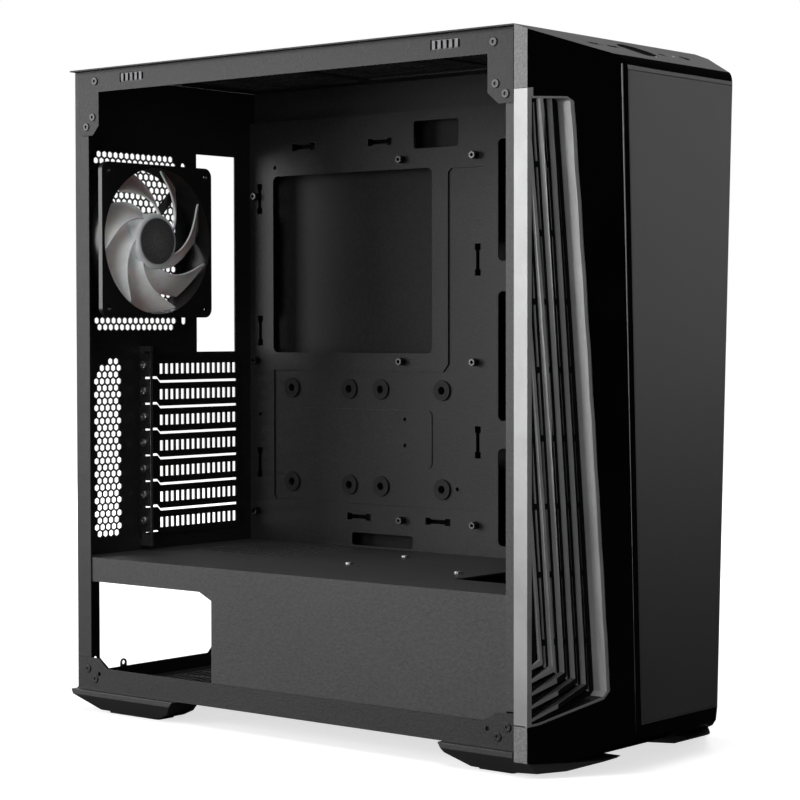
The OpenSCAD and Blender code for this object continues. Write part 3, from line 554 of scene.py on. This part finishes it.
class Palette:
    """Every finish, made once and shared."""

    def __init__(self) -> None:
        """Builds all the materials."""
        low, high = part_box("fan_frame")
        hub = ((low[0] + high[0]) / 2, (low[2] + high[2]) / 2)
        kinds = [
            PowderCoat("rail_coat", (0.02, 0.02, 0.0204), specular=0.33),
            # painted light: the same black powder coat as the rails, lightened for how the light falls on the
            # front post
            PowderCoat("post_coat_painted_light", (0.032, 0.032, 0.0325)),
            # painted light: the same black powder coat as the rails, lightened for the light that falls on
            # the shroud
            PowderCoat("shroud_coat_painted_light", (0.046, 0.046, 0.0465), grain=750.0, contrast=0.2, specular=0.28),
            # painted shade: the same black powder coat as the rails, darkened for the shade inside the case
            PowderCoat("tray_coat_painted_shade", (0.018, 0.018, 0.0183), roughness=0.5, specular=0.25),
            # painted shade: the same black powder coat as the rails, darkened for the shaded inner rear wall
            PowderCoat("rear_coat_painted_shade", (0.016, 0.016, 0.0162), roughness=0.5, specular=0.4),
            PowderCoat("side_coat", (0.016, 0.016, 0.0164), grain=800.0, roughness=0.6, specular=0.2),
            PowderCoat("cover_coat", (0.012, 0.012, 0.012), roughness=0.45),
            PowderCoat("rivet_coat", (0.012, 0.012, 0.012), grain=1500.0, depth=0.00004, roughness=0.35),
            ShellPlastic("shell_skin"),
            VentPlastic("vent_ribs"),
            Plastic("face_satin", (0.016, 0.016, 0.0164), roughness=0.4),
            Plastic("matt_plastic", (0.012, 0.012, 0.0125), roughness=0.5),
            Plastic("foot_plastic", (0.02, 0.02, 0.021), roughness=0.42, depth=0.00005),
            Plastic("button_gloss", (0.006, 0.006, 0.006), roughness=0.12, depth=0.000004),
            Plastic("fan_frame_plastic", (0.01, 0.01, 0.0105), roughness=0.3),
            Plastic("soft_rubber", (0.009, 0.009, 0.009), roughness=0.62, grain=1200.0, depth=0.00006,
                    specular=0.3),
            Plastic("light_pipe", (0.8, 0.85, 0.9), roughness=0.15, depth=0.000004),
            Metal("bright_zinc", (0.62, 0.62, 0.63), 0.3),
            Metal("bar_zinc", (0.36, 0.36, 0.37), 0.34, (1, 1, 0.1)),
            Metal("black_zinc", (0.07, 0.07, 0.072), 0.34),
            Metal("turned_brass", (0.72, 0.53, 0.25), 0.26),
            Metal("copper_wire", (0.75, 0.36, 0.18), 0.3, (1, 0.2, 1)),
            Metal("ground_steel", (0.55, 0.55, 0.56), 0.24),
            Frosted("frosted_blade", (0.85, 0.855, 0.86)),
            Frosted("frosted_hub", (0.8, 0.805, 0.81)),
            MeshCloth("dust_mesh", (0.012, 0.012, 0.012), wire=0.3),
            MeshCloth("front_mesh", (0.004, 0.004, 0.004), pitch=0.0012, wire=0.8, across=("X", "Z")),
            CircuitBoard("circuit_board"),
            HubDisc("hub_disc", hub),
        ]
        self.made = {kind.name: kind.make() for kind in kinds}

    def __getitem__(self, name: str) -> bpy.types.Material:
        """The finish of that name."""
        return self.made[name]


# --- Workshop: shaping by hand ----------------------------------------------------

class Shape(Enum):
    """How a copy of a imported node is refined."""

    KEEP = "keep"
    SOFTEN = "soften"


def deselect() -> None:
    """Leaves nothing selected and no mode open."""
    if bpy.context.object and bpy.context.object.mode != "OBJECT":
        bpy.ops.object.mode_set(mode="OBJECT")
    bpy.ops.object.select_all(action="DESELECT")


def activate(piece: bpy.types.Object) -> None:
    """Makes one piece the only selected and active one."""
    deselect()
    piece.select_set(True)
    bpy.context.view_layer.objects.active = piece


def apply_modifier(piece: bpy.types.Object, kind: str, **settings: object) -> None:
    """Adds a modifier and applies it.

    Args:
        piece: The mesh.
        kind: The modifier's type.
        settings: Its attributes.
    """
    activate(piece)
    made = piece.modifiers.new(kind.lower(), kind)
    for key, value in settings.items():
        setattr(made, key, value)
    bpy.ops.object.modifier_apply(modifier=made.name)


def rounded(piece: bpy.types.Object, width: float, segments: int = 2,
            angle: float = 30.0) -> bpy.types.Object:
    """Rounds the sharp edges and smooths the shading.

    Args:
        piece: The mesh.
        width: The bevel's width, mm.
        segments: Steps in the bevel.
        angle: Sharper edges than this are rounded, degrees.

    Returns:
        The piece.
    """
    activate(piece)
    bpy.ops.object.shade_smooth_by_angle(angle=math.radians(angle))
    apply_modifier(piece, "BEVEL", width=width * MM, segments=segments, limit_method="ANGLE",
                   harden_normals=True, angle_limit=math.radians(angle), miter_outer="MITER_ARC",
                   use_clamp_overlap=True)
    return piece


def settled(piece: bpy.types.Object) -> bpy.types.Object:
    """Joins double points and turns every face outwards.

    Args:
        piece: The mesh.

    Returns:
        The piece.
    """
    activate(piece)
    bpy.ops.object.mode_set(mode="EDIT")
    bpy.ops.mesh.select_all(action="SELECT")
    bpy.ops.mesh.remove_doubles(threshold=WELD_GAP)
    bpy.ops.mesh.normals_make_consistent(inside=False)
    bpy.ops.object.mode_set(mode="OBJECT")
    return piece


def joined(pieces: Sequence[bpy.types.Object], name: str) -> bpy.types.Object:
    """Joins meshes into one.

    Args:
        pieces: The meshes.
        name: The result's name.

    Returns:
        The joined mesh.
    """
    activate(pieces[0])
    for piece in pieces:
        piece.select_set(True)
    bpy.ops.object.join()
    pieces[0].name = name
    return pieces[0]


def own_copy(piece: bpy.types.Object, matrix: Matrix) -> bpy.types.Object:
    """Copies a piece with its own mesh and moves the mesh.

    Args:
        piece: The pattern.
        matrix: Where the copy goes, from the pattern's place.

    Returns:
        The copy.
    """
    copy = piece.copy()
    copy.data = piece.data.copy()
    bpy.context.scene.collection.objects.link(copy)
    copy.data.transform(matrix)
    return copy


def turned(name: str, profile: Sequence[tuple[float, float]], centre: Vector, axis: Vector,
           steps: int = 64) -> bpy.types.Object:
    """Turns a profile about an axis, as on a lathe.

    Args:
        name: The piece's name.
        profile: Radius and height of each point, mm, from the axis round to the axis.
        centre: A point on the axis at height 0, m.
        axis: The direction of height.
        steps: Facets in the full turn.

    Returns:
        The turned mesh, with its place in it.
    """
    axis = axis.normalized()
    out = axis.orthogonal().normalized()
    points = [centre + out * (r * MM) + axis * (h * MM) for r, h in profile]
    mesh = bpy.data.meshes.new(name)
    mesh.from_pydata(points, [(i, i + 1) for i in range(len(points) - 1)], [])
    piece = bpy.data.objects.new(name, mesh)
    bpy.context.scene.collection.objects.link(piece)
    activate(piece)
    bpy.ops.object.mode_set(mode="EDIT")
    bpy.ops.mesh.select_all(action="SELECT")
    bpy.ops.mesh.spin(steps=steps, angle=math.tau, center=centre, axis=axis)
    bpy.ops.object.mode_set(mode="OBJECT")
    settled(piece)
    activate(piece)
    bpy.ops.object.shade_smooth_by_angle(angle=math.radians(40))
    return piece


def merged_copy(node: str, name: str) -> bpy.types.Object:
    """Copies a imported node, joins its loose triangles and clears the flat faces of their diagonals.

    Args:
        node: The node's name.
        name: The new piece's name.

    Returns:
        The copy, still in the node's place.
    """
    source = frame["nodes"][node]
    copy = bpy.data.objects.new(name, source.data.copy())
    bpy.context.scene.collection.objects.link(copy)
    copy.data.materials.clear()
    activate(copy)
    bpy.ops.object.mode_set(mode="EDIT")
    bpy.ops.mesh.select_all(action="SELECT")
    bpy.ops.mesh.remove_doubles(threshold=WELD_GAP)
    bpy.ops.mesh.dissolve_limited(angle_limit=math.radians(FLAT_ANGLE), delimit={"NORMAL"})
    bpy.ops.object.mode_set(mode="OBJECT")
    return copy


def finish_piece(piece: bpy.types.Object, body: str, material: bpy.types.Material,
                 replaces: Iterable[str] = ()) -> bpy.types.Object:
    """Dresses a piece and puts it on its body.

    Args:
        piece: The mesh.
        body: The body that it moves with.
        material: Its finish.
        replaces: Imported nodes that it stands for.

    Returns:
        The piece.
    """
    piece.data.materials.clear()
    piece.data.materials.append(material)
    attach(piece, body)
    for node in replaces:
        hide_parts(node)
    return piece


# --- The frame's own nodes -----------------------------------------------------------

@dataclass
class Dressing:
    """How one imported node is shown."""

    node: str
    material: str
    shape: Shape = Shape.KEEP
    width: float = 0.3
    segments: int = 2


@dataclass
class SteelAndPlastic:
    """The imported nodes: those whose shape is right get a finish, others a refined copy."""

    palette: Palette
    items: list[Dressing] = field(default_factory=lambda: [
        Dressing("rear_panel", "rear_coat_painted_shade"),
        Dressing("bottom_panel", "rail_coat"),
        Dressing("front_frame", "post_coat_painted_light"),
        Dressing("top_frame", "rail_coat", Shape.SOFTEN, 0.25),
        Dressing("top_panel", "rail_coat"),
        Dressing("board_tray", "tray_coat_painted_shade"),
        Dressing("power_supply_shroud", "shroud_coat_painted_light"),
        Dressing("slot_screw_bar", "bar_zinc"),
        Dressing("frame_rivets", "rivet_coat", Shape.SOFTEN, 0.3),
        Dressing("panel_spring_clips", "black_zinc"),
        Dressing("board_standoffs", "black_zinc"),
        Dressing("drive_grommets", "soft_rubber", Shape.SOFTEN, 0.3),
        Dressing("supply_pads", "soft_rubber", Shape.SOFTEN, 0.4),
        Dressing("drive_cage", "rail_coat"),
        Dressing("drive_rails", "rail_coat", Shape.SOFTEN, 0.2),
        Dressing("lower_drive_tray", "matt_plastic"),
        Dressing("upper_drive_tray", "matt_plastic"),
        Dressing("cage_screws", "bright_zinc", Shape.SOFTEN, 0.3),
        Dressing("fan_frame", "fan_frame_plastic", Shape.SOFTEN, 0.4),
        Dressing("fan_screws", "black_zinc", Shape.SOFTEN, 0.3),
        Dressing("fan_bearing", "turned_brass"),
        Dressing("fan_stator", "copper_wire"),
        Dressing("fan_board", "circuit_board"),
        Dressing("fan_magnet", "black_zinc"),
        Dressing("fan_shaft", "ground_steel"),
        Dressing("fan_hub_cap", "hub_disc"),
        Dressing("right_side_panel", "side_coat"),
        Dressing("side_thumbscrews", "black_zinc", Shape.SOFTEN, 0.25),
        Dressing("top_filter", "matt_plastic"),
        Dressing("supply_filter", "matt_plastic"),
        Dressing("front_filter", "matt_plastic"),
        Dressing("front_shell", "shell_skin", Shape.SOFTEN, 0.35, 3),
        Dressing("front_face", "face_satin", Shape.SOFTEN, 0.25, 2),
        Dressing("left_vent", "vent_ribs", Shape.SOFTEN, 0.35),
        Dressing("right_vent", "vent_ribs", Shape.SOFTEN, 0.35),
        Dressing("front_clips", "matt_plastic"),
        Dressing("io_board", "circuit_board"),
        Dressing("usb_ports", "bright_zinc"),
        Dressing("audio_jack", "matt_plastic"),
        Dressing("button_switches", "matt_plastic"),
        Dressing("status_light", "light_pipe"),
        Dressing("power_button", "button_gloss", Shape.SOFTEN, 0.6, 3),
        Dressing("reset_button", "button_gloss", Shape.SOFTEN, 0.4, 3),
        Dressing("front_left_foot", "foot_plastic", Shape.SOFTEN, 0.5, 3),
        Dressing("front_right_foot", "foot_plastic", Shape.SOFTEN, 0.5, 3),
        Dressing("rear_left_foot", "foot_plastic", Shape.SOFTEN, 0.5, 3),
        Dressing("rear_right_foot", "foot_plastic", Shape.SOFTEN, 0.5, 3),
        Dressing("foot_pads", "soft_rubber", Shape.SOFTEN, 0.4),
        Dressing("foot_screws", "bright_zinc", Shape.SOFTEN, 0.3),
        Dressing("slot_screws", "bright_zinc", Shape.SOFTEN, 0.2),
        *[Dressing(f"slot_cover_{i}", "cover_coat") for i in range(1, 8)],
    ])

    def build(self) -> None:
        """Dresses or refines every node."""
        bodies = frame["record"]["behaviour"]["bodies"]
        body_of = {node: body for body, nodes in bodies.items() for node in nodes}
        for item in self.items:
            if item.shape is Shape.KEEP:
                self.dress(item)
                continue
            piece = rounded(merged_copy(item.node, item.node + "_made"), item.width, item.segments)
            finish_piece(piece, body_of[item.node], self.palette[item.material],
                         [item.node])
            LOG.info("%s refined, %d faces", item.node, len(piece.data.polygons))

    def dress(self, item: Dressing) -> None:
        """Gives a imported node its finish.

        Args:
            item: The node and its finish.
        """
        slots = frame["nodes"][item.node].data.materials
        slots.clear()
        slots.append(self.palette[item.material])
        LOG.info("%s dressed", item.node)


# --- Rear fan ------------------------------------------------------------------------

@dataclass
class RearFan:
    """The fan's rotor: seven swept blades on a hub with a rounded rim.

    Lengths are in mm. Angles are in degrees and run from +X towards +Z.
    """

    palette: Palette
    case: CaseFrame
    blades: int = 7
    first_tip: float = -17.0
    root_r: float = 20.5
    tip_r: float = 55.0
    sweep: float = 62.0
    root_chord: float = 40.0
    tip_chord: float = 34.0
    front_v: float = 24.4
    depth: float = 14.5
    camber: float = 1.3
    thickness: float = 1.5
    sweep_power: float = 1.35
    root_drop: float = 0.9
    edge_round: float = 0.55
    grid: tuple[int, int] = (16, 14)
    hub_profile: tuple[tuple[float, float], ...] = (
        (0.0, 24.2), (17.9, 24.2), (17.9, 25.0), (18.6, 25.2), (19.8, 24.9), (20.9, 24.1), (21.6, 22.9),
        (21.8, 21.4), (21.8, 9.2), (21.3, 8.7), (20.4, 8.7), (20.2, 9.0), (20.2, 21.8), (19.0, 23.0),
        (0.0, 23.0))

    def centre(self) -> Vector:
        """The point of the fan's axis in the rear sheet's plane."""
        low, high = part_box("fan_frame")
        return Vector(((low.x + high.x) / 2, self.case.rear, (low.z + high.z) / 2))

    def blade(self) -> bpy.types.Object:
        """Shapes one blade from a grid.

        Returns:
            The blade with its tip at angle 0.
        """
        deselect()
        bpy.ops.mesh.primitive_grid_add(x_subdivisions=self.grid[0], y_subdivisions=self.grid[1], size=1.0)
        piece = bpy.context.object
        centre = self.centre()
        for point in piece.data.vertices:
            across, out = point.co.x + 0.5, point.co.y + 0.5
            radius = self.root_r + (self.tip_r - self.root_r) * out
            lead = -self.sweep * (1.0 - out) ** self.sweep_power
            chord = self.root_chord + (self.tip_chord - self.root_chord) * out
            angle = math.radians(lead - chord * across)
            v = self.front_v - self.depth * across - self.camber * math.sin(math.pi * across)
            v -= self.root_drop * (1.0 - out) ** 2
            point.co = centre + Vector((radius * math.cos(angle), -v, radius * math.sin(angle))) * MM
        apply_modifier(piece, "SOLIDIFY", thickness=self.thickness * MM, offset=0.0)
        settled(piece)
        return rounded(piece, self.edge_round, 3, 50.0)

    def build(self) -> None:
        """Builds the blades and the hub."""
        centre = self.centre()
        pattern = self.blade()
        blades = []
        for k in range(self.blades):
            turn = Matrix.Rotation(-math.radians(self.first_tip + 360.0 / self.blades * k), 4, "Y")
            place = Matrix.Translation(centre) @ turn @ Matrix.Translation(-centre)
            blades.append(own_copy(pattern, place))
        bpy.data.objects.remove(pattern)
        rotor = joined(blades, "fan_blades_made")
        finish_piece(rotor, "rear_fan_rotor", self.palette["frosted_blade"], ["fan_rotor"])
        hub = turned("fan_hub_made", self.hub_profile, centre, Vector((0, -1, 0)), 96)
        finish_piece(hub, "rear_fan_rotor", self.palette["frosted_hub"])
        LOG.info("rear fan made, %d blades", self.blades)


# --- Filters -------------------------------------------------------------------------

@dataclass
class DustMesh:
    """One sheet of woven mesh, clamped in its filter's frame and a little slack between the ribs."""

    name: str
    node: str
    body: str
    flat: str
    inset: float
    level: float
    material: str
    slack: float = 0.25
    thickness: float = 0.25
    bays: tuple[int, int] = (4, 6)
    cuts_per_bay: int = 8

    def build(self, palette: Palette) -> None:
        """Lays the sheet.

        Args:
            palette: The finishes.
        """
        low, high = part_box(self.node)
        axes = ("x", "y") if self.flat == "z" else ("x", "z")
        deselect()
        cuts = [bays * self.cuts_per_bay for bays in self.bays]
        bpy.ops.mesh.primitive_grid_add(x_subdivisions=cuts[0], y_subdivisions=cuts[1], size=1.0)
        piece = bpy.context.object
        piece.name = self.name
        edge = self.inset * MM
        for point in piece.data.vertices:
            s, t = point.co.x + 0.5, point.co.y + 0.5
            belly = abs(math.sin(math.pi * s * self.bays[0]) * math.sin(math.pi * t * self.bays[1]))
            place = low.copy()
            for axis, share in zip(axes, (s, t)):
                start, end = getattr(low, axis) + edge, getattr(high, axis) - edge
                setattr(place, axis, start + (end - start) * share)
            setattr(place, self.flat, getattr(low, self.flat) + (self.level - self.slack * belly) * MM)
            point.co = place
        apply_modifier(piece, "SOLIDIFY", thickness=self.thickness * MM, offset=0.0)
        activate(piece)
        bpy.ops.object.shade_smooth_by_angle(angle=math.radians(35))
        finish_piece(piece, self.body, palette[self.material])
        LOG.info("%s made", self.name)


# --- Studio ----------------------------------------------------------------------------

@dataclass(frozen=True)
class SoftBox:
    """One rectangular light: its place and what it faces in m, its width and height in m, and its power."""

    name: str
    place: tuple[float, float, float]
    size: tuple[float, float]
    watts: float
    target: tuple[float, float, float] = (0.0, 0.0, 0.25)

    def hang(self) -> None:
        """Hangs the light, out of the camera's sight."""
        data = bpy.data.lights.new(self.name, "AREA")
        data.shape = "RECTANGLE"
        data.size, data.size_y = self.size
        data.energy = self.watts
        light = bpy.data.objects.new(self.name, data)
        bpy.context.scene.collection.objects.link(light)
        light.visible_camera = False
        light.location = self.place
        light.rotation_euler = (Vector(self.target) - Vector(self.place)).to_track_quat("-Z", "Y").to_euler()


@dataclass
class Studio:
    """Pale floor, soft boxes and the camera."""

    case: CaseFrame
    eye: tuple[float, float, float] = (-1182.7, 1297.7, 274.1)
    heading: float = 50.45
    dip: float = 1.77
    roll: float = -0.072
    lens: float = 102.45
    mirrored: float = 0.008
    ambient: float = 0.1
    floor_width: float = 120.0
    boxes: tuple[SoftBox, ...] = (
        SoftBox("rear_left_box", (-1.9, 1.6, 0.55), (1.7, 1.9), 64),
        SoftBox("front_right_box", (1.7, -1.7, 0.8), (0.9, 1.4), 7),
        SoftBox("top_box", (-0.3, -0.2, 2.4), (2.4, 2.4), 46),
        SoftBox("front_left_box", (-2.6, -0.6, 0.7), (1.0, 1.4), 17),
        SoftBox("right_box", (2.3, -0.2, 0.8), (1.0, 1.4), 13),
        SoftBox("rear_box", (0.9, 2.3, 0.8), (1.2, 1.4), 18))

    def camera(self) -> None:
        """Places the camera."""
        data = bpy.data.cameras.new("camera")
        data.lens = self.lens
        data.sensor_width = 36.0
        data.clip_start, data.clip_end = 0.1, 50.0
        eye = bpy.data.objects.new("camera", data)
        bpy.context.scene.collection.objects.link(eye)
        a, e = math.radians(self.heading), math.radians(self.dip)
        ahead = Vector((math.sin(a) * math.cos(e), math.cos(a) * math.cos(e), -math.sin(e)))
        turn = ahead.to_track_quat("-Z", "Y").to_matrix() @ Matrix.Rotation(math.radians(self.roll), 3, "Z")
        eye.rotation_euler = turn.to_euler()
        eye.location = self.case.at(*self.eye)
        bpy.context.scene.camera = eye

    def surroundings(self) -> None:
        """A studio that looks white, gives a little soft light and shows black in polished faces."""
        world = bpy.data.worlds.new("studio")
        bpy.context.scene.world = world
        world.use_nodes = True
        tree = world.node_tree
        tree.nodes.clear()
        ray = tree.nodes.new("ShaderNodeLightPath")
        out = tree.nodes.new("ShaderNodeOutputWorld")
        last = None
        glows = ((self.mirrored, None), (self.ambient, "Is Diffuse Ray"), (1.0, "Is Camera Ray"))
        for strength, seen_by in glows:
            glow = tree.nodes.new("ShaderNodeBackground")
            glow.inputs["Color"].default_value = WHITE
            glow.inputs["Strength"].default_value = strength
            if last is None:
                last = glow.outputs[0]
                continue
            mix = tree.nodes.new("ShaderNodeMixShader")
            tree.links.new(ray.outputs[seen_by], mix.inputs[0])
            tree.links.new(last, mix.inputs[1])
            tree.links.new(glow.outputs[0], mix.inputs[2])
            last = mix.outputs[0]
        tree.links.new(last, out.inputs[0])

    def floor(self) -> None:
        """Lays the floor: white, with a soft shadow under the case that is partly real and partly painted
        shade where the glow dims towards the case, and dark in polished faces.
        """
        deselect()
        bpy.ops.mesh.primitive_plane_add(size=self.floor_width, location=(0, 0, 0))
        plane = bpy.context.object
        plane.name = "floor"
        g = Graph("pale_floor")
        ray = g.node("ShaderNodeLightPath", {}, {})
        away = (g.axis("X") * g.axis("X") + g.axis("Y") * g.axis("Y")) ** 0.5
        # painted shade: the camera-seen glow is dimmer near the case and full white far off
        strength = away.ramp(0.3, 1.3) * 0.35 + 0.68
        glow = g.node("ShaderNodeEmission", {}, {"Color": WHITE, "Strength": strength})
        matt, pale, dark = (g.node("ShaderNodeBsdfDiffuse", {}, {"Color": (grey, grey, grey, 1)})
                            for grey in (0.6, 0.35, 0.01))
        shown = g.node("ShaderNodeAddShader", {}, {0: glow.outputs[0], 1: matt.outputs[0]})
        hidden = g.node("ShaderNodeMixShader", {},
                        {0: ray.outputs["Is Glossy Ray"], 1: pale.outputs[0], 2: dark.outputs[0]})
        seen = g.node("ShaderNodeMixShader", {},
                      {0: ray.outputs["Is Camera Ray"], 1: hidden.outputs[0], 2: shown.outputs[0]})
        g.node("ShaderNodeOutputMaterial", {}, {"Surface": seen.outputs[0]})
        plane.data.materials.append(g.material)

    def build(self) -> None:
        """Sets up the studio."""
        self.camera()
        self.surroundings()
        self.floor()
        for box in self.boxes:
            box.hang()
        bpy.context.scene.view_settings.view_transform = "Standard"


# --- Assembly ----------------------------------------------------------------------------

def main() -> None:
    """Builds everything in order."""
    logging.basicConfig(level=logging.INFO, format="%(message)s")
    case = CaseFrame.measured()
    Studio(case).build()
    palette = Palette()
    SteelAndPlastic(palette).build()
    RearFan(palette, case).build()
    sheets = (
        DustMesh("top_mesh_made", "top_filter", "top_filter_body", "z", 3.0, 1.2, "dust_mesh"),
        DustMesh("supply_mesh_made", "supply_filter", "supply_filter_body", "z", 4.0, 1.2, "dust_mesh"),
        DustMesh("front_mesh_made", "front_filter", "front_panel", "y", 4.0, 0.7, "front_mesh", bays=(4, 9)))
    for sheet in sheets:
        sheet.build(palette)


if __name__ == "__main__":
    main()
